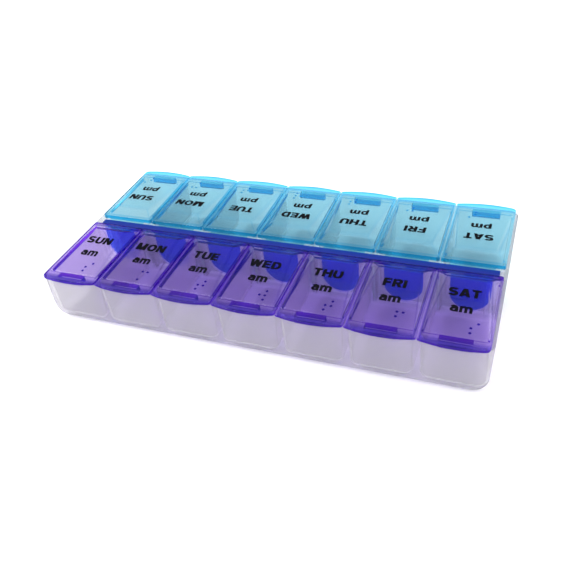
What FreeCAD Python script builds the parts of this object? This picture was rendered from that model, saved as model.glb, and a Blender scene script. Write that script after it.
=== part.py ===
import FreeCAD, Part
import os
import re

import Sketcher
from FreeCAD import Placement, Rotation, Vector

# Weekly pill organiser: one frosted tray with two rows of seven compartments, and a hinged lid on each.
# The row at -Y is the morning row (am), the row at +Y the evening row (pm). Both are the same moulding,
# turned half round about Z. Origin: bottom centre. +X runs along the rows, +Z is up. Sizes in millimetres.

SIZES = [
    # the tray
    ("row_pitch", 31.5, "from one compartment to the next"),
    ("tray_length", 220.5, "outer length at the rim: seven pitches"),
    ("tray_width", 106.4, "outer width at the rim"),
    ("rim_height", 26.95, "top of the walls above the table"),
    ("wall_lean", 0.93, "how far each outer wall leans in at the bottom"),
    ("end_round", 7.5, "radius along the bottom of the two ends"),
    ("side_round", 2.75, "radius along the bottom of the long sides"),
    ("corner_round", 4.5, "radius of the four upright corners"),
    ("outer_wall", 1.6, "outer wall at the rim"),
    ("divider_half", 1.0, "half of a divider at the rim"),
    ("floor_thick", 2.3, "floor under the compartments"),
    ("cavity_draft", 1.0, "draft of the compartment walls in degrees"),
    ("cavity_round", 4.0, "inner radius of a compartment"),
    # the spine between the two rows
    ("spine_wall", 4.2, "from the middle to the compartments"),
    ("spine_top", 25.0, "top of the spine above the table"),
    ("channel_half", 5.6, "half width of the lowered channel over the spine"),
    ("channel_end", 1.25, "end wall left beyond the channel"),
    ("core_half", 2.9, "half width of the hollow under the spine"),
    ("core_rib", 1.2, "half of the rib between two hollows"),
    ("core_top", 23.5, "height of the hollows"),
    ("window_half", 9.5, "half width of the thin U shaped window"),
    ("window_low", 5.2, "lowest point of the window"),
    ("window_wall", 3.7, "from the middle to the thinned wall"),
    # a lid, in its own frame: hinge edge at y = 0, top of its rim at z = 0, latch edge towards -y
    ("lid_top", 28.3, "top of the lid rims above the table"),
    ("hinge_gap", 3.95, "from the middle to a lid's hinge edge"),
    ("lid_depth", 49.45, "hinge edge to the chord of the latch edge"),
    ("lid_bow", 2.0, "bulge of the latch edge"),
    ("bow_radius", 61.45, "radius of the bulge"),
    ("lid_gap", 0.2, "half of the gap between two lids"),
    ("end_inset", 1.5, "end lids stop this far inside the tray's end"),
    ("rim_thick", 1.25, "rim of a lid"),
    ("lid_wall", 1.2, "raised panel of a lid"),
    ("foot_inset", 1.0, "lid edge to the foot of the raised panel"),
    ("panel_rise", 2.6, "raised panel above the rim at its hinge end"),
    ("panel_low", 0.35, "raised panel above the rim at its latch end"),
    ("panel_inset", 5.5, "lid side to the panel's flat at its hinge end"),
    ("panel_start", 7.75, "hinge edge to the panel's flat"),
    ("panel_end", 44.4, "hinge edge to the latch end of the panel's flat"),
    ("panel_foot", 44.9, "hinge edge to the latch end of the panel's foot"),
    ("panel_bend", 0.3, "share of the wall by which a bend moves inwards on the inside"),
    ("skirt_thick", 1.2, "skirt along the hinge edge"),
    ("skirt_tall", 2.3, "skirt from the rim's top to its own bottom"),
    ("rib_thick", 0.8, "side ribs that drop inside the compartment"),
    ("rib_tall", 2.45, "side ribs from the rim's top to their bottom"),
    ("rib_start", 5.5, "hinge edge to the side ribs"),
    ("rib_end", 42.5, "hinge edge to the far end of the side ribs"),
    ("latch_half", 7.0, "half width of the latch tongue"),
    ("latch_start", 44.2, "hinge edge to the latch tongue"),
    ("latch_end", 47.3, "hinge edge to the latch tongue's outer face"),
    ("latch_tall", 5.0, "latch tongue from the rim's top to its outer bottom edge"),
    ("latch_back", 4.0, "latch tongue from the rim's top to its inner bottom edge"),
    # braille dots on the panel
    ("dot_radius", 0.8, "ball that a dot is a cap of"),
    ("dot_sink", 0.4, "how far the ball's centre lies under the panel"),
    ("dot_column", 4.9, "lid centre to the first column of dots"),
    ("dot_across", 2.7, "between the two columns"),
    ("dot_row", 36.1, "hinge edge to the first row of dots"),
    ("dot_down", 2.9, "between rows"),
    # hinge strips and living hinges
    ("strip_inner", 0.06, "from the middle to a strip"),
    ("strip_outer", 2.06, "from the middle to the strip's far side"),
    ("strip_half", 106.6, "half length of a strip"),
    ("strip_top", 26.45, "top of a strip above the table"),
    ("strip_edge", 0.3, "rounding of a strip's edges"),
    ("web_inset", 5.0, "lid side to the end of its living hinge"),
    ("web_outer", 3.8, "from the middle to the living hinge's lid side"),
    ("web_low", 25.75, "underside of a living hinge above the table"),
    ("web_thick", 0.3, "living hinge"),
]

DAYS = ["sun", "mon", "tue", "wed", "thu", "fri", "sat"]
ROWS = {"am": 0, "pm": 180}  # turn of each row about Z in degrees

# Braille cells of the first letters, as (column, row) places: dots 1 2 3 run down column 0, 4 5 6 down 1.
BRAILLE = {
    "s": [(0, 1), (0, 2), (1, 0)],
    "m": [(0, 0), (0, 2), (1, 0)],
    "t": [(0, 1), (0, 2), (1, 0), (1, 1)],
    "w": [(0, 1), (1, 0), (1, 1), (1, 2)],
    "f": [(0, 0), (0, 1), (1, 0)],
}

PLANES = {
    "XY": Rotation(),
    "XZ": Rotation(Vector(1, 0, 0), 90),
    "YZ": Rotation(Vector(1, 1, 1), 120),
}

LID_CORNER = 1.0  # plan radius of a lid's corners
END_CORNER = 2.5  # plan radius of an end lid's outer latch corner
LID_EDGE = 0.35  # rounding of a lid's upper edge

# tests that pick edges
SLACK = 0.05  # places this near each other count as one
UPRIGHT = 0.5  # an upright edge is taller than this
ACROSS = 20  # an edge across the tray is longer than this

doc = FreeCAD.newDocument("pill_organiser")
sheet = doc.addObject("Spreadsheet::Sheet", "Sizes")


def fill_sheet():
    for line, (name, value, meaning) in enumerate(SIZES, start=1):
        sheet.set(f"A{line}", name)
        sheet.set(f"B{line}", str(value))
        sheet.set(f"C{line}", meaning)
        sheet.setAlias(f"B{line}", name)
    doc.recompute()


def on_sheet(text):
    """Turns the size names in an expression into references to the sheet's cells."""
    return re.sub(r"[a-z]+(_[a-z]+)+", r"Sizes.\g<0>", text)


def bind(piece, prop, text):
    piece.setExpression(prop, on_sheet(text))


def size(text):
    """The present value of an expression on the sheet."""
    return float(sheet.evalExpression(re.sub(r"[a-z]+(_[a-z]+)+", r".\g<0>", text)))


# ---- general builders: each takes expressions on the sheet ----


def box(name, low, high):
    piece = doc.addObject("Part::Box", name)
    for side, axis, start, end in zip(("Length", "Width", "Height"), "xyz", low, high):
        bind(piece, side, f"({end}) - ({start})")
        bind(piece, f"Placement.Base.{axis}", start)
    return piece


def polygon(sketch, points):
    """Adds a closed outline whose corners are held by expressions."""
    corners = [Vector(size(u), size(v), 0) for u, v in points]
    first = sketch.GeometryCount
    last = first + len(points) - 1
    for number, start in enumerate(corners):
        end = corners[(number + 1) % len(corners)]
        sketch.addGeometry(Part.LineSegment(start, end), False)
    for number, (u, v) in enumerate(points):
        line = first + number
        after = first if line == last else line + 1
        sketch.addConstraint(Sketcher.Constraint("Coincident", line, 2, after, 1))
        for kind, text, value in (("DistanceX", u, corners[number].x), ("DistanceY", v, corners[number].y)):
            held = sketch.addConstraint(Sketcher.Constraint(kind, -1, 1, line, 1, value))
            bind(sketch, f"Constraints[{held}]", text)


def outline(name, plane, *polygons):
    sketch = doc.addObject("Sketcher::SketchObject", name)
    sketch.Placement = Placement(Vector(), PLANES[plane])
    for points in polygons:
        polygon(sketch, points)
    return sketch


def extrude(name, sketch, ahead, back=None, taper_back=None):
    """Extrudes a sketch ahead along its normal and back against it."""
    piece = doc.addObject("Part::Extrusion", name)
    piece.Base = sketch
    piece.DirMode = "Normal"
    piece.Solid = True
    bind(piece, "LengthFwd", ahead)
    if back:
        bind(piece, "LengthRev", back)
    if taper_back:
        bind(piece, "TaperAngleRev", taper_back)
    return piece


def cut(name, base, tool):
    piece = doc.addObject("Part::Cut", name)
    piece.Base = base
    piece.Tool = tool
    piece.Refine = True
    return piece


def fuse(name, pieces):
    piece = doc.addObject("Part::MultiFuse", name)
    piece.Shapes = pieces
    piece.Refine = True
    return piece


def common(name, pieces):
    piece = doc.addObject("Part::MultiCommon", name)
    piece.Shapes = pieces
    piece.Refine = True
    return piece


def rounded(name, base, radii_of):
    """Rounds the edges for which radii_of(edge) gives a pair of radii, start and end."""
    doc.recompute()
    edges = []
    for number, edge in enumerate(base.Shape.Edges, start=1):
        radii = radii_of(edge)
        if radii:
            edges.append((number, *radii))
    piece = doc.addObject("Part::Fillet", name)
    piece.Base = base
    piece.Edges = edges
    return piece


def place(piece, label, x, y, z, turn="0"):
    """Names a finished sub-part and puts it in the tray's frame."""
    piece.Label = label
    for axis, text in zip("xyz", (x, y, z)):
        bind(piece, f"Placement.Base.{axis}", text)
    if turn != "0":
        piece.Placement.Rotation = Rotation(Vector(0, 0, 1), float(turn))
    return piece


# ---- small tests on edges ----


def is_upright(edge):
    spread = edge.BoundBox
    return spread.ZLength > UPRIGHT and max(spread.XLength, spread.YLength) < SLACK


def near(value, target):
    return abs(value - target) < SLACK


# ---- the tray ----


def tray_block():
    """The solid block: slanted ends with a large bottom radius, slanted sides with a small one."""
    end = "tray_length / 2"
    foot = "tray_length / 2 - wall_lean"
    long_side = outline(
        "tray_long_side", "XZ",
        [(f"-({foot})", "0"), (foot, "0"), (end, "rim_height"), (f"-({end})", "rim_height")],
    )
    lengthwise = extrude("tray_lengthwise", long_side, "tray_width / 2", "tray_width / 2")

    def bottom_end(edge):
        spread = edge.BoundBox
        if near(spread.ZMax, 0) and spread.YLength > ACROSS:
            return size("end_round"), size("end_round")
        return None

    soft_ends = rounded("tray_soft_ends", lengthwise, bottom_end)
    side = "tray_width / 2"
    side_foot = "tray_width / 2 - wall_lean"
    cross = outline(
        "tray_cross", "YZ",
        [(f"-({side_foot})", "0"), (side_foot, "0"), (side, "rim_height"), (f"-({side})", "rim_height")],
    )
    crosswise = extrude("tray_crosswise", cross, end, end)
    block = common("tray_block", [soft_ends, crosswise])
    return rounded("tray_soft_block", block, side_edge_radii)


def side_edge_radii(edge):
    """Radii along the border of the long sides: upright corners, easing to the bottom edge."""
    spread = edge.BoundBox
    upright = size("corner_round")
    bottom = size("side_round")
    if spread.YLength > ACROSS or near(spread.ZMin, size("rim_height")):
        return None
    if near(spread.ZMax, 0):
        return bottom, bottom
    if near(spread.ZMax, size("rim_height")):
        return upright, upright
    starts_low = edge.firstVertex().Point.z < edge.lastVertex().Point.z
    return (bottom, upright) if starts_low else (upright, bottom)


def day_edges(number):
    """The two pitch lines of one compartment, as expressions."""
    return f"-tray_length / 2 + {number} * row_pitch", f"-tray_length / 2 + {number + 1} * row_pitch"


def cavity_outlines(side):
    """Seven rectangles at the rim, for the row at side -1 or +1."""
    rectangles = []
    for number in range(len(DAYS)):
        left, right = day_edges(number)
        left_wall = "outer_wall" if number == 0 else "divider_half"
        right_wall = "outer_wall" if number == len(DAYS) - 1 else "divider_half"
        x = (f"{left} + {left_wall}", f"{right} - {right_wall}")
        y = [f"{side} * spine_wall", f"{side} * (tray_width / 2 - outer_wall)"]
        if side < 0:
            y.reverse()
        rectangles.append([(x[0], y[0]), (x[1], y[0]), (x[1], y[1]), (x[0], y[1])])
    return rectangles


def cavities():
    """The fourteen compartments as solids that get narrower downwards, with round edges."""
    sketch = outline("cavity_rims", "XY", *cavity_outlines(-1), *cavity_outlines(1))
    bind(sketch, "Placement.Base.z", "rim_height")
    solids = extrude("cavity_solids", sketch, "outer_wall", "rim_height - floor_thick", "-cavity_draft")
    radius = size("cavity_round")

    def inner_edge(edge):
        starts_below = edge.BoundBox.ZMin < size("rim_height") - SLACK
        ends_above = edge.BoundBox.ZMax > size("rim_height") + SLACK
        return (radius, radius) if starts_below and not ends_above else None

    return rounded("cavities", solids, inner_edge)


def spine_channel():
    """The space over the spine, between the end walls, that holds the hinges."""
    end = "tray_length / 2 - channel_end"
    return box(
        "spine_channel",
        (f"-({end})", "-channel_half", "spine_top"),
        (end, "channel_half", "rim_height + outer_wall"),
    )


def spine_hollows():
    """The hollows that core out the spine from below, one under each day."""
    hollows = []
    for number, day in enumerate(DAYS):
        left, right = day_edges(number)
        low = (f"{left} + core_rib", "-core_half", "-outer_wall")
        high = (f"{right} - core_rib", "core_half", "core_top")
        if number == 0:
            low = (f"{left} + end_round + core_rib", *low[1:])
        if number == len(DAYS) - 1:
            high = (f"{right} - end_round - core_rib", *high[1:])
        hollows.append(box(f"spine_hollow_{day}", low, high))
    return hollows


def window_tools():
    """U shaped tools that thin the spine's wall in every compartment."""
    reach = "spine_wall + cavity_draft"
    radius = "window_half"
    tools = []
    for number, day in enumerate(DAYS):
        middle = f"-tray_length / 2 + ({number} + 0.5) * row_pitch"
        bowl = doc.addObject("Part::Cylinder", f"window_bowl_{day}")
        bind(bowl, "Radius", radius)
        bind(bowl, "Height", f"2 * ({reach})")
        bowl.Placement.Rotation = Rotation(Vector(1, 0, 0), 90)
        bind(bowl, "Placement.Base.x", middle)
        bind(bowl, "Placement.Base.y", reach)
        bind(bowl, "Placement.Base.z", "window_low + window_half")
        upper = box(
            f"window_upper_{day}",
            (f"{middle} - {radius}", f"-({reach})", "window_low + window_half"),
            (f"{middle} + {radius}", reach, "spine_top"),
        )
        tools.append(fuse(f"window_{day}", [bowl, upper]))
    length = "tray_length"
    kept = box(
        "window_kept_wall",
        (f"-{length}", "-window_wall", "-outer_wall"),
        (length, "window_wall", "rim_height"),
    )
    return cut("windows", fuse("window_tools", tools), kept)


def base_tray():
    tools = [cavities(), spine_channel(), window_tools(), *spine_hollows()]
    hollow = doc.addObject("Part::Compound", "tray_hollows")
    hollow.Links = tools
    piece = cut("base_tray", tray_block(), hollow)
    return place(piece, "base_tray", "0", "0", "0")


# ---- the lids ----


def lid_plate(name, left, right, end_corner):
    """The flat rim and the skirt along the hinge edge; end_corner is -1, 0 or 1."""
    rim = box(f"{name}_rim", (left, "-lid_depth - lid_bow", "-rim_thick"), (right, "0", "0"))
    skirt = box(f"{name}_skirt", (left, "-skirt_thick", "-skirt_tall"), (right, "0", "0"))
    bow = doc.addObject("Part::Cylinder", f"{name}_bow")
    bind(bow, "Radius", "bow_radius")
    bind(bow, "Height", "2 * skirt_tall")
    bind(bow, "Placement.Base.y", "bow_radius - lid_depth - lid_bow")
    bind(bow, "Placement.Base.z", "-1.5 * skirt_tall")
    square = common(f"{name}_square", [fuse(f"{name}_flat", [rim, skirt]), bow])

    def corner(edge):
        if not is_upright(edge) or near(edge.BoundBox.YMin, -size("skirt_thick")):
            return None
        at_latch = edge.BoundBox.YMin < -size("rib_end")
        at_end = edge.BoundBox.XMin * end_corner > 0
        radius = END_CORNER if at_latch and at_end else LID_CORNER
        return radius, radius

    def upper(edge):
        return (LID_EDGE, LID_EDGE) if near(edge.BoundBox.ZMin, 0) else None

    return rounded(f"{name}_plate", rounded(f"{name}_corners", square, corner), upper)


def panel(name, left, right, inset, foot, latch_foot, shrink="0"):
    """The raised panel standing on the height foot, or with shrink the hollow inside it.

    It is the overlap of a side profile and an end profile, so all its facets are flat.
    """
    side = outline(
        f"{name}_side", "YZ",
        [
            (f"-{inset}", foot),
            (f"-panel_start - panel_bend * {shrink}", f"panel_rise - {shrink}"),
            ("-panel_end", f"panel_low - {shrink}"),
            (f"-{latch_foot}", foot),
        ],
    )
    across = extrude(f"{name}_across", side, right, f"-{left}")
    end = outline(
        f"{name}_end", "XZ",
        [
            (f"{left} + {inset}", foot),
            (f"{right} - {inset}", foot),
            (f"{right} - panel_inset - panel_bend * {shrink}", f"panel_rise - {shrink}"),
            (f"{left} + panel_inset + panel_bend * {shrink}", f"panel_rise - {shrink}"),
        ],
    )
    along = extrude(f"{name}_along", end, "lid_depth")
    return common(name, [across, along])


def lid_ribs(name, left, right):
    """Two side ribs that drop inside the compartment, and the latch tongue at the front."""
    in_wall = "-rim_thick / 2"
    outer = {"left": f"{left} + foot_inset", "right": f"{right} - foot_inset - rib_thick"}
    ribs = [
        box(f"{name}_{side}_rib", (x, "-rib_end", "-rib_tall"), (f"{x} + rib_thick", "-rib_start", in_wall))
        for side, x in outer.items()
    ]
    side = outline(
        f"{name}_latch_side", "YZ",
        [
            ("-latch_start", in_wall),
            ("-latch_start", "-latch_back"),
            ("-latch_end", "-latch_tall"),
            ("-latch_end", in_wall),
        ],
    )
    return [*ribs, extrude(f"{name}_latch", side, "latch_half", "latch_half")]


def lid_blank(name, end_corner):
    """A lid without its dots; end_corner is -1 or 1 where that side is at the tray's end."""
    left = "(-row_pitch / 2 + end_inset)" if end_corner < 0 else "(-row_pitch / 2 + lid_gap)"
    right = "(row_pitch / 2 - end_inset)" if end_corner > 0 else "(row_pitch / 2 - lid_gap)"
    plate = lid_plate(name, left, right, end_corner)
    raised = panel(f"{name}_panel", left, right, "foot_inset", "0", "panel_foot")
    hollow = panel(f"{name}_hollow", left, right, "skirt_thick", "-rim_thick", "panel_end", "lid_wall")
    shell = cut(f"{name}_shell", fuse(f"{name}_solid", [plate, raised]), hollow)
    return fuse(name, [shell, *lid_ribs(name, left, right)])


def braille_dots(letter):
    """The raised dots of one letter, as balls sunk into the sloping panel."""
    fall = "(panel_rise - panel_low) / (panel_end - panel_start)"
    dots = []
    for number, (column, row) in enumerate(BRAILLE[letter], start=1):
        away = f"(dot_row + {row} * dot_down)"
        ball = doc.addObject("Part::Sphere", f"dot_{letter}_{number}")
        bind(ball, "Radius", "dot_radius")
        bind(ball, "Placement.Base.x", f"dot_column + {column} * dot_across")
        bind(ball, "Placement.Base.y", f"-{away}")
        bind(ball, "Placement.Base.z", f"panel_rise - ({away} - panel_start) * {fall} - dot_sink")
        dots.append(ball)
    return dots


def lids():
    """Fourteen lids. The pm row is turned half round, so its end lids swap."""
    blanks = {corner: lid_blank(f"lid_blank_{number}", corner) for number, corner in enumerate((-1, 0, 1))}
    dots = {letter: braille_dots(letter) for letter in BRAILLE}
    made = []
    for row, turn in ROWS.items():
        side = -1 if turn == 0 else 1
        for number, day in enumerate(DAYS):
            at_end = {0: -1, len(DAYS) - 1: 1}.get(number, 0)
            corner = -side * at_end
            piece = fuse(f"{row}_lid_{day}", [blanks[corner], *dots[day[0]]])
            middle = f"-tray_length / 2 + ({number} + 0.5) * row_pitch"
            made.append(place(piece, f"{row}_lid_{day}", middle, f"{side} * hinge_gap", "lid_top", str(turn)))
    return made


# ---- hinge strips and living hinges ----


def plane_of(body, role):
    return next(feature for feature in body.Origin.OriginFeatures if feature.Role == role)


def padded_body(name, points, thick):
    """A body padded from an outline on its own XY plane."""
    body = doc.addObject("PartDesign::Body", name)
    sketch = body.newObject("Sketcher::SketchObject", f"{name}_outline")
    sketch.AttachmentSupport = (plane_of(body, "XY_Plane"), [""])
    sketch.MapMode = "FlatFace"
    polygon(sketch, points)
    pad = body.newObject("PartDesign::Pad", f"{name}_pad")
    pad.Profile = sketch
    bind(pad, "Length", thick)
    return body, pad


def rectangle(x_low, x_high, y_low, y_high):
    return [(x_low, y_low), (x_high, y_low), (x_high, y_high), (x_low, y_high)]


def hinge_strip(row, turn):
    """The strip that anchors one row's living hinges on the spine."""
    name = f"{row}_hinge_strip"
    across = rectangle("-strip_half", "strip_half", "-strip_outer", "-strip_inner")
    body, pad = padded_body(name, across, "strip_top - spine_top")
    doc.recompute()
    edges = pad.Shape.Edges
    soft = body.newObject("PartDesign::Fillet", f"{name}_soft")
    soft.Base = (pad, [f"Edge{n}" for n, edge in enumerate(edges, start=1) if is_upright(edge)])
    bind(soft, "Radius", "strip_edge")
    return place(body, name, "0", "0", "spine_top", str(turn))


def living_hinge(row, turn, number, day):
    """The thin web between one lid and its strip."""
    name = f"{row}_living_hinge_{day}"
    half = "(row_pitch / 2 - web_inset - lid_gap)"
    body, _ = padded_body(name, rectangle(f"-{half}", half, "-web_outer", "-strip_outer"), "web_thick")
    middle = f"-tray_length / 2 + ({number} + 0.5) * row_pitch"
    return place(body, name, middle, "0", "web_low", str(turn))


def hinges():
    made = []
    for row, turn in ROWS.items():
        made.append(hinge_strip(row, turn))
        for number, day in enumerate(DAYS):
            made.append(living_hinge(row, turn, number, day))
    return made


# ---- tests and export ----


def check(pieces):
    doc.recompute()
    for thing in doc.Objects:
        if {"Invalid", "Error"} & set(thing.State):
            raise RuntimeError(f"{thing.Name} did not compute: {thing.State}")
    for piece in pieces:
        shape = piece.Shape
        if shape.isNull() or not shape.isValid() or len(shape.Solids) != 1:
            raise RuntimeError(f"{piece.Label} is not one valid solid")


def export(pieces):
    os.makedirs("parts", exist_ok=True)
    for piece in pieces:
        piece.Shape.exportStep(f"parts/{piece.Label}.step")


fill_sheet()
PIECES = [base_tray(), *lids(), *hinges()]
check(PIECES)
export(PIECES)
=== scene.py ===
import math

import bmesh
import bpy
from mathutils import Matrix, Vector


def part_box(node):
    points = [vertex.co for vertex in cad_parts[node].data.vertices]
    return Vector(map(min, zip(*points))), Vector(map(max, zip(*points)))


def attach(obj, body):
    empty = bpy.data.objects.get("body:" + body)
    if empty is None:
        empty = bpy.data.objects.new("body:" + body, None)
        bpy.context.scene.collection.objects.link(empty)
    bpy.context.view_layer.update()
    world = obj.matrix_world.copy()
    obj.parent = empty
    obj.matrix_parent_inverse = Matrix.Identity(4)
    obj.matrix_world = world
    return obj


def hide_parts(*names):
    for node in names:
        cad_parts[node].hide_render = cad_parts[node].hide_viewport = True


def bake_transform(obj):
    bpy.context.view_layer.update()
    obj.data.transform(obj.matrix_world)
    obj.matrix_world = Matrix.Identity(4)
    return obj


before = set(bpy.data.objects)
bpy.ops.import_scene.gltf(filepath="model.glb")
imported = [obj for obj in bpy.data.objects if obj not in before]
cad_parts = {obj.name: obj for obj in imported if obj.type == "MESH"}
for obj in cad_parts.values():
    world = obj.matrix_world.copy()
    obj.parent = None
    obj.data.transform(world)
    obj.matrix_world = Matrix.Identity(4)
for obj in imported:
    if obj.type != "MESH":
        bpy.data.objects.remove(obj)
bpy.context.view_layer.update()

# Weekly pill organiser in a plain light tent. Everything is in metres, in the row frame.

MM = 0.001
DAYS = ["sun", "mon", "tue", "wed", "thu", "fri", "sat"]
TURNS = {"am": 1, "pm": -1}  # the pm row is the am row turned half round

# the camera
AZIMUTH = math.radians(24.0)
ELEVATION = math.radians(38.3)
ROLL = math.radians(-6.675)
DISTANCE = 310.5 * MM
AIM = Vector((15.8, -34.6, 28.3)) * MM
LENS = 42.04  # on a 36 mm sensor

# the raised panel of a lid, measured from its hinge edge
HINGE_GAP = 3.95 * MM  # middle of the tray to the hinge edge
LID_TOP = 28.3 * MM  # top of the lid's rim, which the panel stands on
PANEL_FOOT = 1.0 * MM
PANEL_START = 7.75 * MM  # where the hinge facet ends and the sloping flat starts
PANEL_RISE = 2.6 * MM  # height of the flat where it starts
PANEL_FALL = 2.25 / 36.65  # how steeply the flat falls towards the latch
PANEL_SIDE = 14.55 * MM  # middle of a lid to the foot of the panel's side facet
SIDE_SLOPE = 2.6 / 4.5  # how steeply the side facet rises
FRONT_SLOPE = PANEL_RISE / (PANEL_START - PANEL_FOOT)  # and the hinge facet

# the tray
PITCH = 31.5 * MM
WINDOW_HALF = 9.5 * MM  # the thin U shaped windows in the wall between the rows
WINDOW_MIDDLE = 14.7 * MM  # height of the centre of a window's round end
WALL_REACH = (3.3 * MM, 5.0 * MM)  # distance of that wall's faces from the middle of the tray

# the printed labels, measured from a lid's hinge edge
CAP_HEIGHT = 5.3 * MM
DAY_BASELINE = 20.8 * MM
HALF_BASELINE = 30.6 * MM  # of the am or pm
LETTER_STRETCH = 1.15
LETTER_GAP = 0.11  # this and the next three are in cap heights
CAPITAL_STROKE = 0.25
SMALL_STROKE = 0.215
DESCENT = 0.22
INK_LIFT = 0.01 * MM
INK_THICK = 0.03 * MM

FLOOR = -0.05 * MM  # just under the tray, so that the two faces don't coincide

# the living hinges
WEB_HALF = 10.55 * MM
WEB_INNER = 2.0 * MM
WEB_OUTER = 4.1 * MM
WEB_MIDDLE = 25.9 * MM
WEB_THICK = 0.3 * MM
WEB_ROWS = 14

# clear plastic: the tint of its flats, the painted shade of its walls, creases and dots (a deep tint),
# what a lamp keeps through it, clearness
TINTS = {
    "am_lid": ((0.64, 0.49, 0.98), (0.045, 0.001, 0.6), (0.82, 0.75, 0.97), 1.0),
    "pm_lid": ((0.39, 0.82, 0.94), (0.03, 0.5, 0.88), (0.85, 0.98, 0.99), 1.0),
    "am_strip": ((0.014, 0.04, 0.42), (0.01, 0.02, 0.36), (0.5, 0.5, 0.9), 0.5),
    "pm_strip": ((0.003, 0.05, 0.4), (0.002, 0.04, 0.36), (0.2, 0.5, 0.9), 0.5),
}
PLASTIC_IOR = 1.05  # low, because creases in clear plastic turn black at a higher one
FACET_LIGHTENING_POWER = 0.8  # the tint of a sloping facet is the flats' tint to this power, painted lighter than the flats
FACET_FACING = (0.975, 0.95)  # the normal's height where the facets' tint starts and is full
WALL_FACING = (0.84, 0.45)  # and the walls', where painted shade goes
CREASE_SHARE = 0.35  # how much painted shade shows along a crease, as a dark line
FOOT_SHARE = 0.7  # and along the foot of the panel
FOOT_LINE = (0.3 * MM, 0.12 * MM)  # heights off the foot where its line fades in and is full
CREASE_LINE = (0.28 * MM, 0.08 * MM)  # height between two facets' planes, likewise
DOT_RISE = (0.01 * MM, 0.05 * MM)  # height of a braille dot above the flat, likewise

# milky plastic
MILKY_IOR = 1.15
MILKY_CLEARNESS = 0.78
MILK = ((0.74, 0.73, 0.755), (0.70, 0.69, 0.72))
WALL_PAINTED_LIGHT_MILK = (0.88, 0.88, 0.9)  # of the wall between the rows: painted lighter, for the light that comes through it
# a painted highlight round each window
WINDOW_RIM_HIGHLIGHT = (0.97, 0.97, 0.99)
MILKY_SHADOW = (0.6, 0.6, 0.62)
BLUE_LIGHT = (0.012, 0.05, 1.0)  # in the windows as the am row sees them
PURPLE_LIGHT = (0.45, 0.22, 0.95)  # and as the pm row sees them


# ---- node helpers ----


def new_material(name):
    material = bpy.data.materials.new(name)
    material.use_nodes = True
    tree = material.node_tree
    return material, tree, tree.nodes["Principled BSDF"]


def add_node(tree, kind, **values):
    node = tree.nodes.new(kind)
    for key, value in values.items():
        if key in node.inputs:
            node.inputs[key].default_value = value
        else:
            setattr(node, key, value)
    return node


def object_noise(tree, scale):
    """A noise in the piece's own coordinates, so it stays put as the piece moves."""
    place = add_node(tree, "ShaderNodeTexCoord")
    noise = add_node(tree, "ShaderNodeTexNoise", Scale=scale, Detail=3.0)
    tree.links.new(place.outputs["Object"], noise.inputs["Vector"])
    return noise.outputs["Fac"]


def object_place(tree, output="Object"):
    """The x, y and z of a point, or with output Normal of its normal, in the piece's own frame."""
    place = add_node(tree, "ShaderNodeTexCoord")
    split = add_node(tree, "ShaderNodeSeparateXYZ")
    tree.links.new(place.outputs[output], split.inputs[0])
    return split.outputs


def map_range(tree, value, start, end, low=0.0, high=1.0, kind="LINEAR"):
    """Maps start to end onto low to high, and holds the value still past either."""
    node = add_node(tree, "ShaderNodeMapRange", interpolation_type=kind)
    node.inputs["From Min"].default_value = start
    node.inputs["From Max"].default_value = end
    node.inputs["To Min"].default_value = low
    node.inputs["To Max"].default_value = high
    tree.links.new(value, node.inputs["Value"])
    return node.outputs["Result"]


def spread(tree, noise, low, high):
    """Maps a noise, which lies between about 0.3 and 0.7, onto low to high."""
    return map_range(tree, noise, 0.3, 0.7, low, high)


def ramp(tree, value, start, end):
    """0 up to start, 1 from end on, or the other way round where end is the lower."""
    return map_range(tree, value, start, end, kind="SMOOTHSTEP")


def blend_colours(tree, value, first, second):
    """Mixes two colours, each a tuple or a node's output."""
    node = add_node(tree, "ShaderNodeMix", data_type="RGBA")
    for socket, colour in ((node.inputs[6], first), (node.inputs[7], second)):
        if isinstance(colour, (tuple, list)):
            socket.default_value = (*colour, 1)
        else:
            tree.links.new(colour, socket)
    tree.links.new(value, node.inputs["Factor"])
    return node.outputs[2]


def calculate(tree, operation, first, second=None):
    """One sum, each term a number or a node's output."""
    node = add_node(tree, "ShaderNodeMath", operation=operation)
    for socket, value in zip(node.inputs, (first, second)):
        if isinstance(value, (int, float)):
            socket.default_value = value
        elif value is not None:
            tree.links.new(value, socket)
    return node.outputs[0]


def add_bump(tree, shader, value, height):
    bump = add_node(tree, "ShaderNodeBump", Strength=0.5, Distance=height)
    tree.links.new(value, bump.inputs["Height"])
    tree.links.new(bump.outputs["Normal"], shader.inputs["Normal"])


def let_lamps_through(tree, shader, tint):
    """Rays that look for a lamp pass straight through the clear plastic, taking its tint."""
    path = add_node(tree, "ShaderNodeLightPath")
    open_way = add_node(tree, "ShaderNodeBsdfTransparent", Color=(*tint, 1))
    mix = add_node(tree, "ShaderNodeMixShader")
    tree.links.new(path.outputs["Is Shadow Ray"], mix.inputs["Fac"])
    tree.links.new(shader.outputs[0], mix.inputs[1])
    tree.links.new(open_way.outputs[0], mix.inputs[2])
    tree.links.new(mix.outputs[0], tree.nodes["Material Output"].inputs["Surface"])


# ---- materials ----


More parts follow.
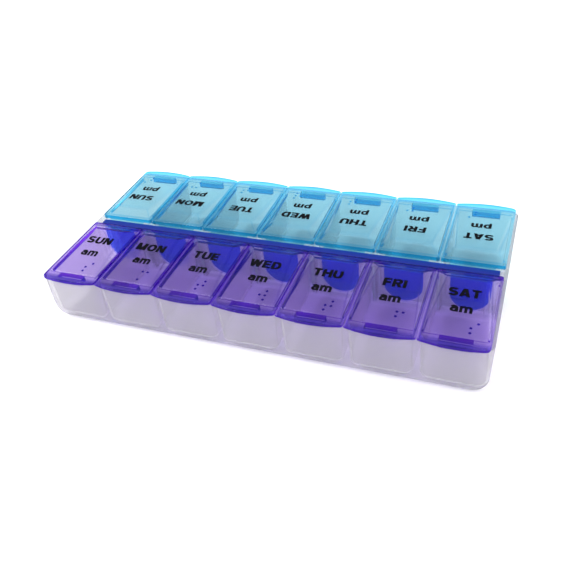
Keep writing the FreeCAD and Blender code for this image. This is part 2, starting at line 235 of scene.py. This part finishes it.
def lid_marks(tree):
    """Masks for the foot of a lid's raised panel, the panel's creases and the braille dots, where shade
    is painted as dark lines and points.

    The panel's top is the lowest of three planes: the sloping flat, the side facet and the hinge facet.
    A crease is where the two lowest meet.
    """
    x, y, z = object_place(tree)
    across = calculate(tree, "PINGPONG", x, PITCH / 2)
    away = calculate(tree, "SUBTRACT", calculate(tree, "ABSOLUTE", y), HINGE_GAP)
    past = calculate(tree, "SUBTRACT", away, PANEL_START)
    flat = calculate(tree, "SUBTRACT", PANEL_RISE, calculate(tree, "MULTIPLY", past, PANEL_FALL))
    inwards = calculate(tree, "SUBTRACT", PANEL_SIDE, across)
    side = calculate(tree, "MULTIPLY", inwards, SIDE_SLOPE)
    from_foot = calculate(tree, "SUBTRACT", away, PANEL_FOOT)
    front = calculate(tree, "MULTIPLY", from_foot, FRONT_SLOPE)

    lower = calculate(tree, "MINIMUM", flat, side)
    upper = calculate(tree, "MAXIMUM", flat, side)
    lowest = calculate(tree, "MINIMUM", lower, front)
    middle = calculate(tree, "MAXIMUM", lower, calculate(tree, "MINIMUM", upper, front))
    foot = ramp(tree, calculate(tree, "ABSOLUTE", lowest), *FOOT_LINE)
    crease = ramp(tree, calculate(tree, "SUBTRACT", middle, lowest), *CREASE_LINE)
    height = calculate(tree, "SUBTRACT", z, LID_TOP)
    dots = ramp(tree, calculate(tree, "SUBTRACT", height, flat), *DOT_RISE)
    return foot, crease, dots


def tinted_plastic(name, tint, painted_shade, shadow_tint, clearness):
    """Clear moulded plastic: a pale tint on its flats, painted lighter on its sloping facets, and painted
    shade, a deep tint, on its walls, edges and dots.
    """
    material, tree, shader = new_material(name)
    shader.inputs["Transmission Weight"].default_value = clearness
    shader.inputs["IOR"].default_value = PLASTIC_IOR
    shader.inputs["Coat Weight"].default_value = 0.25
    shader.inputs["Coat Roughness"].default_value = 0.08
    cloud = object_noise(tree, 90.0)
    tree.links.new(spread(tree, cloud, 0.04, 0.09), shader.inputs["Roughness"])
    add_bump(tree, shader, object_noise(tree, 700.0), 0.003 * MM)

    flats = blend_colours(tree, cloud, tint, [c * 0.96 for c in tint])
    facing = calculate(tree, "ABSOLUTE", object_place(tree, "Normal")["Z"])
    # painted light: the sloping facets get a lighter tint than the flats
    facets = [c ** FACET_LIGHTENING_POWER for c in tint]
    sloped = blend_colours(tree, ramp(tree, facing, *FACET_FACING), flats, facets)
    # painted shade: a deep tint on the upright walls
    walls = blend_colours(tree, ramp(tree, facing, *WALL_FACING), sloped, painted_shade)

    foot, crease, dots = lid_marks(tree)
    faint = calculate(tree, "MULTIPLY", crease, CREASE_SHARE)
    strong = calculate(tree, "MULTIPLY", foot, FOOT_SHARE)
    # painted shade: dark lines along the creases and the foot of the panel
    shade_lines = blend_colours(tree, calculate(tree, "MAXIMUM", faint, strong), walls, painted_shade)
    # painted shade: the braille dots are darkened
    dot_shade = blend_colours(tree, dots, shade_lines, [c ** 2 for c in painted_shade])
    tree.links.new(dot_shade, shader.inputs["Base Color"])
    let_lamps_through(tree, shader, shadow_tint)
    return material


def window_masks(tree):
    """Masks for the wall between the rows, its U shaped windows and the rim round each window, where a
    highlight is painted.
    """
    x, y, z = object_place(tree)
    across = calculate(tree, "PINGPONG", x, PITCH / 2)
    below = calculate(tree, "MINIMUM", calculate(tree, "SUBTRACT", z, WINDOW_MIDDLE), 0.0)
    across_squared = calculate(tree, "POWER", across, 2.0)
    below_squared = calculate(tree, "POWER", below, 2.0)
    reach = calculate(tree, "SQRT", calculate(tree, "ADD", across_squared, below_squared))
    inside = ramp(tree, reach, WINDOW_HALF + 0.1 * MM, WINDOW_HALF - 0.2 * MM)
    rim = ramp(tree, reach, WINDOW_HALF + 1.2 * MM, WINDOW_HALF + 0.5 * MM)

    away = calculate(tree, "ABSOLUTE", y)
    from_low = ramp(tree, away, WALL_REACH[0], WALL_REACH[0] + 0.1 * MM)
    to_high = ramp(tree, away, WALL_REACH[1], WALL_REACH[1] - 0.1 * MM)
    wall = calculate(tree, "MULTIPLY", from_low, to_high)
    return wall, calculate(tree, "MULTIPLY", inside, wall), calculate(tree, "MULTIPLY", rim, wall)


def frosted_plastic():
    """Natural polypropylene: milky, with painted blue or purple light in the thin windows between the
    rows, a painted highlight round each window and the wall between the rows painted lighter.
    """
    material, tree, shader = new_material("frosted_base")
    shader.inputs["Transmission Weight"].default_value = MILKY_CLEARNESS
    shader.inputs["IOR"].default_value = MILKY_IOR
    shader.inputs["Coat Weight"].default_value = 0.3
    shader.inputs["Coat Roughness"].default_value = 0.3
    cloud = object_noise(tree, 60.0)
    tree.links.new(spread(tree, cloud, 0.19, 0.25), shader.inputs["Roughness"])
    add_bump(tree, shader, object_noise(tree, 2500.0), 0.004 * MM)

    wall, window, rim = window_masks(tree)
    side = ramp(tree, object_place(tree)["Y"], -1 * MM, 1 * MM)
    light = blend_colours(tree, side, BLUE_LIGHT, PURPLE_LIGHT)
    # painted light: the wall between the rows is painted a lighter milk
    wall_painted_lighter = blend_colours(tree, wall, blend_colours(tree, cloud, *MILK), WALL_PAINTED_LIGHT_MILK)
    # painted highlight round each window
    rim_highlighted = blend_colours(tree, rim, wall_painted_lighter, WINDOW_RIM_HIGHLIGHT)
    tree.links.new(blend_colours(tree, window, rim_highlighted, light), shader.inputs["Base Color"])
    let_lamps_through(tree, shader, MILKY_SHADOW)
    return material


def label_ink():
    material, tree, shader = new_material("label_ink")
    grain = object_noise(tree, 1500.0)
    ink = blend_colours(tree, grain, (0.002, 0.002, 0.003), (0.006, 0.006, 0.008))
    tree.links.new(ink, shader.inputs["Base Color"])
    tree.links.new(spread(tree, grain, 0.55, 0.7), shader.inputs["Roughness"])
    shader.inputs["Specular IOR Level"].default_value = 0.02
    return material


def floor_material():
    material, tree, shader = new_material("floor_paper")
    paper = blend_colours(tree, object_noise(tree, 30.0), (0.93, 0.93, 0.93), (0.95, 0.95, 0.95))
    tree.links.new(paper, shader.inputs["Base Color"])
    shader.inputs["Roughness"].default_value = 0.8
    return material


MATERIALS = {"base": frosted_plastic()}
for tinted, values in TINTS.items():
    MATERIALS[tinted] = tinted_plastic(tinted, *values)
MATERIALS["ink"] = label_ink()


def dress(obj, material):
    obj.data.materials.clear()
    obj.data.materials.append(material)


def dress_frame():
    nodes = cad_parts
    dress(nodes["base_tray"], MATERIALS["base"])
    for row in TURNS:
        dress(nodes[f"{row}_hinge_strip"], MATERIALS[f"{row}_strip"])
        for day in DAYS:
            dress(nodes[f"{row}_lid_{day}"], MATERIALS[f"{row}_lid"])


# ---- labels ----


def lid_place(row, day):
    """Middle in x, hinge edge in y and the crest's height of one lid."""
    low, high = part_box(f"{row}_lid_{day}")
    hinge = high.y if TURNS[row] > 0 else low.y
    return (low.x + high.x) / 2, hinge, high.z


def arc(middle_x, middle_y, reach_x, reach_y, start, end):
    """Points along part of an ellipse, in degrees from its right end, anticlockwise."""
    steps = max(2, round(abs(end - start) / 12))
    turns = [math.radians(start + (end - start) * i / steps) for i in range(steps + 1)]
    return [(middle_x + reach_x * math.cos(a), middle_y + reach_y * math.sin(a)) for a in turns]


# A letter is its width and the middle lines of its strokes, in cap heights. A stroke that runs past the
# letter's top or foot is cut off level there.
LETTERS = {
    "A": (0.74, [[(0.08, -0.1), (0.37, 1.1)], [(0.66, -0.1), (0.37, 1.1)], [(0.15, 0.26), (0.59, 0.26)]]),
    "D": (0.72, [[(0.1, 0.1), (0.3, 0.1), *arc(0.32, 0.5, 0.3, 0.4, -90, 90), (0.1, 0.9)],
                 [(0.1, -0.1), (0.1, 1.1)]]),
    "E": (0.64, [[(0.1, -0.1), (0.1, 1.1)], [(0.1, 0.9), (0.62, 0.9)], [(0.1, 0.51), (0.58, 0.51)],
                 [(0.1, 0.1), (0.64, 0.1)]]),
    "F": (0.6, [[(0.1, -0.1), (0.1, 1.1)], [(0.1, 0.9), (0.6, 0.9)], [(0.1, 0.48), (0.54, 0.48)]]),
    "H": (0.72, [[(0.1, -0.1), (0.1, 1.1)], [(0.62, -0.1), (0.62, 1.1)], [(0.1, 0.51), (0.62, 0.51)]]),
    "I": (0.2, [[(0.1, -0.1), (0.1, 1.1)]]),
    "M": (0.88, [[(0.1, -0.1), (0.1, 1.1)], [(0.78, -0.1), (0.78, 1.1)], [(0.11, 1.08), (0.44, -0.1)],
                 [(0.77, 1.08), (0.44, -0.1)]]),
    "N": (0.72, [[(0.1, -0.1), (0.1, 1.1)], [(0.62, -0.1), (0.62, 1.1)], [(0.08, 1.08), (0.64, -0.08)]]),
    "O": (0.8, [arc(0.4, 0.5, 0.3, 0.4, 0, 360)]),
    "R": (0.7, [[(0.1, -0.1), (0.1, 1.1)],
                [(0.1, 0.9), (0.36, 0.9), *arc(0.38, 0.69, 0.21, 0.21, 90, -90), (0.1, 0.48)],
                [(0.34, 0.5), (0.63, -0.1)]]),
    "S": (0.68, [[*arc(0.34, 0.7, 0.23, 0.2, 20, 270), *arc(0.34, 0.3, 0.24, 0.2, 80, -160)]]),
    "T": (0.64, [[(0.0, 0.9), (0.64, 0.9)], [(0.32, -0.1), (0.32, 0.9)]]),
    "U": (0.72, [[(0.1, 1.1), (0.1, 0.4), *arc(0.36, 0.37, 0.26, 0.27, 180, 360), (0.62, 0.4),
                  (0.62, 1.1)]]),
    "W": (1.0, [[(0.07, 1.1), (0.29, -0.1)], [(0.27, -0.1), (0.51, 1.1)], [(0.49, 1.1), (0.73, -0.1)],
                [(0.71, -0.1), (0.93, 1.1)]]),
    "a": (0.56, [[*arc(0.27, 0.43, 0.2, 0.22, 155, 0), (0.47, 0.0)],
                 [(0.47, 0.43), (0.28, 0.42), *arc(0.26, 0.25, 0.17, 0.165, 100, 290), (0.47, 0.22)]]),
    "m": (0.86, [[(0.085, 0.0), (0.085, 0.73)], [*arc(0.26, 0.45, 0.17, 0.2, 180, 0), (0.43, 0.0)],
                 [*arc(0.605, 0.45, 0.17, 0.2, 180, 0), (0.775, 0.0)]]),
    "p": (0.6, [[(0.085, -0.3), (0.085, 0.73)], arc(0.3, 0.37, 0.21, 0.28, 0, 360)]),
}


def add_stroke(mesh, points, width):
    """One stroke as an upright band, taller than the ink, closed on itself where its ends meet."""
    points = [Vector(point) for point in points]
    points = [p for i, p in enumerate(points) if i == 0 or (p - points[i - 1]).length > 0.01]
    closed = (points[0] - points[-1]).length < 0.01
    if closed:
        points.pop()
    rings = []
    for i, point in enumerate(points):
        before = points[i - 1] if i or closed else point
        after = points[(i + 1) % len(points)] if i < len(points) - 1 or closed else point
        way_in = (point - before).normalized()
        way_out = (after - point).normalized()
        along = (way_in + way_out).normalized()
        stretch = max(along.dot(way_in), along.dot(way_out))
        side = Vector((-along.y, along.x)) * width / 2 / stretch
        corners = [(point + side, 1), (point + side, -1), (point - side, -1), (point - side, 1)]
        rings.append([mesh.verts.new((at.x, at.y, height)) for at, height in corners])
    if closed:
        rings.append(rings[0])
    else:
        mesh.faces.new(rings[0])
        mesh.faces.new(reversed(rings[-1]))
    for ring, following in zip(rings, rings[1:]):
        for k in range(4):
            mesh.faces.new((ring[k], following[k], following[k - 3], ring[k - 3]))


def mesh_object(name, mesh):
    """A new object with a bmesh's shape."""
    bmesh.ops.recalc_face_normals(mesh, faces=mesh.faces)
    data = bpy.data.meshes.new(name)
    mesh.to_mesh(data)
    mesh.free()
    piece = bpy.data.objects.new(name, data)
    bpy.context.scene.collection.objects.link(piece)
    return piece


def text_mesh(words):
    """Bold block letters as one thin solid, centred on x = 0 with the baseline on y = 0, in metres."""
    strokes = bmesh.new()
    pen = 0.0
    for letter in words:
        width, lines = LETTERS[letter]
        for line in lines:
            points = [(pen + x, y) for x, y in line]
            add_stroke(strokes, points, CAPITAL_STROKE if letter.isupper() else SMALL_STROKE)
        pen += width + LETTER_GAP
    total = pen - LETTER_GAP
    piece = mesh_object("strokes", strokes)
    foot = -DESCENT if "p" in words else 0.0
    slab = bmesh.new()
    bmesh.ops.create_cube(slab, size=1.0)
    slab_size = Vector((total + 1, 1 - foot, INK_THICK / CAP_HEIGHT))
    bmesh.ops.scale(slab, vec=slab_size, verts=slab.verts)
    bmesh.ops.translate(slab, vec=Vector((total / 2, (1 + foot) / 2, 0)), verts=slab.verts)
    cutter = mesh_object("slab", slab)
    level = piece.modifiers.new("level", "BOOLEAN")
    level.operation = "INTERSECT"
    level.solver = "EXACT"
    level.use_self = True
    level.object = cutter
    mesh = bpy.data.meshes.new_from_object(piece.evaluated_get(bpy.context.evaluated_depsgraph_get()))
    for spare in (piece, cutter):
        bpy.data.objects.remove(spare)
    for vertex in mesh.vertices:
        vertex.co.x = (vertex.co.x - total / 2) * LETTER_STRETCH
        vertex.co *= CAP_HEIGHT
    return mesh


def lay_on_panel(mesh, row, day, baseline):
    """Bends the flat words onto the sloping panel of their lid."""
    middle, hinge, crest = lid_place(row, day)
    turn = TURNS[row]
    for vertex in mesh.vertices:
        away = baseline - vertex.co.y
        height = crest - (away - PANEL_START) * PANEL_FALL
        lift = INK_LIFT + INK_THICK / 2 + vertex.co.z
        vertex.co = Vector((middle + turn * vertex.co.x, hinge - turn * away, height + lift))


def label(row, day, words, baseline, part):
    name = f"{row}_label_{day}_{part}"
    mesh = WORDS[words].copy()
    mesh.name = name
    lay_on_panel(mesh, row, day, baseline)
    piece = bpy.data.objects.new(name, mesh)
    bpy.context.scene.collection.objects.link(piece)
    dress(piece, MATERIALS["ink"])
    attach(piece, f"{row}_lid_{day}")


# ---- living hinges ----


def living_hinge(row, day):
    """The thin web between a lid and its strip, thinnest over the joint's axis, where it bends."""
    middle = lid_place(row, day)[0]
    away = -TURNS[row]
    mesh = bmesh.new()
    rings = []
    for i in range(WEB_ROWS + 1):
        share = i / WEB_ROWS
        y = away * (WEB_INNER + (WEB_OUTER - WEB_INNER) * share)
        thick = WEB_THICK * (1 - 0.5 * math.sin(math.pi * share) ** 2) / 2
        corners = [(-WEB_HALF, thick), (WEB_HALF, thick), (WEB_HALF, -thick), (-WEB_HALF, -thick)]
        rings.append([mesh.verts.new((middle + x, y, WEB_MIDDLE + z)) for x, z in corners])
    mesh.faces.new(rings[0])
    mesh.faces.new(reversed(rings[-1]))
    for ring, following in zip(rings, rings[1:]):
        for k in range(4):
            mesh.faces.new((ring[k], following[k], following[k - 3], ring[k - 3]))
    piece = mesh_object(f"{row}_hinge_web_{day}", mesh)
    dress(piece, MATERIALS[f"{row}_lid"])
    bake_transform(piece)
    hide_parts(f"{row}_living_hinge_{day}")


# ---- the light tent and the camera ----


def floor():
    size = 3.0
    mesh = bpy.data.meshes.new("floor")
    corners = [(-size, -size, FLOOR), (size, -size, FLOOR), (size, size, FLOOR), (-size, size, FLOOR)]
    mesh.from_pydata(corners, [], [(0, 1, 2, 3)])
    piece = bpy.data.objects.new("floor", mesh)
    bpy.context.scene.collection.objects.link(piece)
    dress(piece, floor_material())


def lamp(name, place, aim, size, power):
    light = bpy.data.lights.new(name, "AREA")
    light.size = size
    light.energy = power
    piece = bpy.data.objects.new(name, light)
    piece.location = place
    piece.rotation_euler = (Vector(aim) - Vector(place)).to_track_quat("-Z", "Y").to_euler()
    bpy.context.scene.collection.objects.link(piece)


def light_tent():
    world = bpy.data.worlds.new("tent")
    bpy.context.scene.world = world
    world.use_nodes = True
    sky = world.node_tree.nodes["Background"]
    sky.inputs["Color"].default_value = (1, 1, 1, 1)
    sky.inputs["Strength"].default_value = 1.0
    lamp("key", (-0.5, -0.35, 0.7), (0, 0, 0), 0.5, 5.0)
    lamp("fill", (0.6, 0.3, 0.5), (0, 0, 0), 0.6, 2.5)


def camera():
    """A camera that looks at AIM from AZIMUTH and ELEVATION, rolled about its own axis."""
    back = Vector((
        math.sin(AZIMUTH) * math.cos(ELEVATION),
        -math.cos(AZIMUTH) * math.cos(ELEVATION),
        math.sin(ELEVATION),
    ))
    right = Vector((0, 0, 1)).cross(back).normalized()
    up = back.cross(right)
    turned_right = math.cos(ROLL) * right + math.sin(ROLL) * up
    turned_up = math.cos(ROLL) * up - math.sin(ROLL) * right
    data = bpy.data.cameras.new("camera")
    data.lens = LENS
    data.sensor_width = 36.0
    data.clip_start = 0.01
    piece = bpy.data.objects.new("camera", data)
    turned = Matrix((turned_right, turned_up, back)).transposed()
    piece.matrix_world = Matrix.Translation(AIM + back * DISTANCE) @ turned.to_4x4()
    bpy.context.scene.collection.objects.link(piece)
    bpy.context.scene.camera = piece


dress_frame()
WORDS = {words: text_mesh(words) for words in [day.upper() for day in DAYS] + list(TURNS)}
for row in TURNS:
    for day in DAYS:
        label(row, day, day.upper(), DAY_BASELINE, "day")
        label(row, day, row, HALF_BASELINE, "half")
        living_hinge(row, day)
floor()
light_tent()
camera()
bpy.context.scene.view_settings.view_transform = "Standard"
